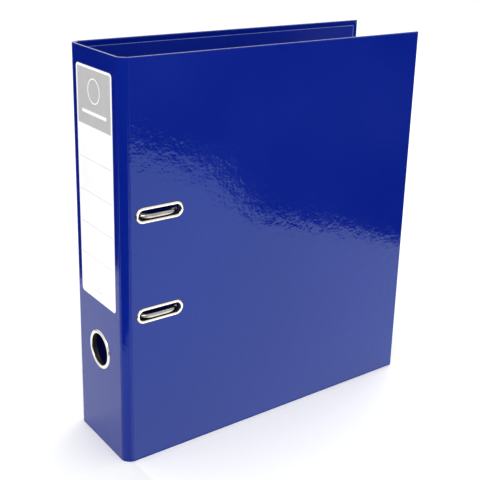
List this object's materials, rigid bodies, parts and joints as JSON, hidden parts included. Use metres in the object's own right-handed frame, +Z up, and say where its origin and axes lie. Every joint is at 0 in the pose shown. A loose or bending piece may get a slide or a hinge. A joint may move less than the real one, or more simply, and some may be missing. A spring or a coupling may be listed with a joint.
{
  "type": "lever arch file",
  "caption": "Upright A4 lever arch file in glossy blue laminated board, with slotted front cover, spine label, finger ring and a working lever arch mechanism.",
  "frame": {"origin": "middle of the bottom of the closed file, standing on its bottom edges", "axes": "+Z up along the file's height, -X out of the spine, -Y out of the front cover, +Y out of the back cover that carries the mechanism"},
  "size_m": [0.288, 0.0824, 0.32],
  "materials": {
    "blue_laminate": "glossy laminated paper with a fine orange-peel texture",
    "inner_liner": "smooth blue paper, satin",
    "grey_board": "rough grey board",
    "nickel_eyelet": "bright nickel plate",
    "nickel_plate": "nickel-plated pressed steel",
    "nickel_rivet": "nickel-plated rivets",
    "nickel_wire": "bright nickel-plated wire and tube",
    "spring_steel": "bare spring steel",
    "roller_nylon": "natural nylon",
    "label_paper": "white satin label paper with a grey printed header"
  },
  "bodies": {
    "back_cover": {"back_cover_board": "grey_board", "back_cover_liner": "inner_liner", "back_cover_sheet": "blue_laminate", "back_cover_flaps": "blue_laminate", "base_plate": "nickel_plate", "cover_rivets": "nickel_rivet", "bracket_rivets": "nickel_rivet", "upper_post": "nickel_wire", "lower_post": "nickel_wire", "lever_bracket": "nickel_plate", "lever_pin": "nickel_rivet", "arch_spring": "spring_steel"},
    "back_hinge": {"back_hinge_board": "grey_board", "back_hinge_liner": "inner_liner", "back_hinge_sheet": "blue_laminate"},
    "spine": {"spine_board": "grey_board", "spine_liner": "inner_liner", "spine_sheet": "blue_laminate", "spine_flaps": "blue_laminate", "finger_ring": "nickel_eyelet", "spine_label": "label_paper"},
    "front_hinge": {"front_hinge_board": "grey_board", "front_hinge_liner": "inner_liner", "front_hinge_sheet": "blue_laminate"},
    "front_cover": {"front_cover_board": "grey_board", "front_cover_liner": "inner_liner", "front_cover_sheet": "blue_laminate", "front_cover_flaps": "blue_laminate", "upper_slot_eyelet": "nickel_eyelet", "lower_slot_eyelet": "nickel_eyelet"},
    "arches": {"arch_wire": "nickel_wire"},
    "lever": {"lever": "nickel_plate", "roller_axle": "nickel_rivet"},
    "roller": {"lever_roller": "roller_nylon"},
    "compressor": {"compressor_bar": "nickel_plate", "compressor_clip": "spring_steel", "clip_rivet": "nickel_rivet"}
  },
  "joints": [
    {"name": "back_crease_fold", "type": "hinge", "parent": "back_cover", "child": "back_hinge", "pos_m": [-0.1375, 0.04, 0.16], "axis": [0, 0, -1], "range_deg": [0, 45]},
    {"name": "back_spine_fold", "type": "hinge", "parent": "back_hinge", "child": "spine", "pos_m": [-0.1435, 0.034, 0.16], "axis": [0, 0, -1], "range_deg": [0, 45]},
    {"name": "front_spine_fold", "type": "hinge", "parent": "spine", "child": "front_hinge", "pos_m": [-0.1435, -0.034, 0.16], "axis": [0, 0, -1], "range_deg": [0, 85]},
    {"name": "front_crease_fold", "type": "hinge", "parent": "front_hinge", "child": "front_cover", "pos_m": [-0.1375, -0.04, 0.16], "axis": [0, 0, -1], "range_deg": [0, 85]},
    {"name": "arch_swing", "type": "hinge", "parent": "back_cover", "child": "arches", "pos_m": [-0.1315, 0.0329, 0.1625], "axis": [0, 0, -1], "range_deg": [0, 46]},
    {"name": "lever_lift", "type": "hinge", "parent": "back_cover", "child": "lever", "pos_m": [-0.1115, 0.01874, 0.1545], "axis": [-1, 0, 0], "range_deg": [0, 81]},
    {"name": "roller_spin", "type": "hinge", "parent": "lever", "child": "roller", "pos_m": [-0.1115, 0.0255, 0.14279], "axis": [1, 0, 0], "continuous": true},
    {"name": "compressor_slide", "type": "slide", "parent": "back_cover", "child": "compressor", "axis": [0, -1, 0], "range_m": [0, 0.038]}
  ],
  "couplings": [
    {"joint": "back_spine_fold", "follows": "back_crease_fold", "ratio": 1},
    {"joint": "front_crease_fold", "follows": "front_spine_fold", "ratio": 1},
    {"joint": "lever_lift", "follows": "back_crease_fold", "ratio": 1.8},
    {"joint": "arch_swing", "follows": "back_crease_fold", "ratio": 1.0222}
  ]
}
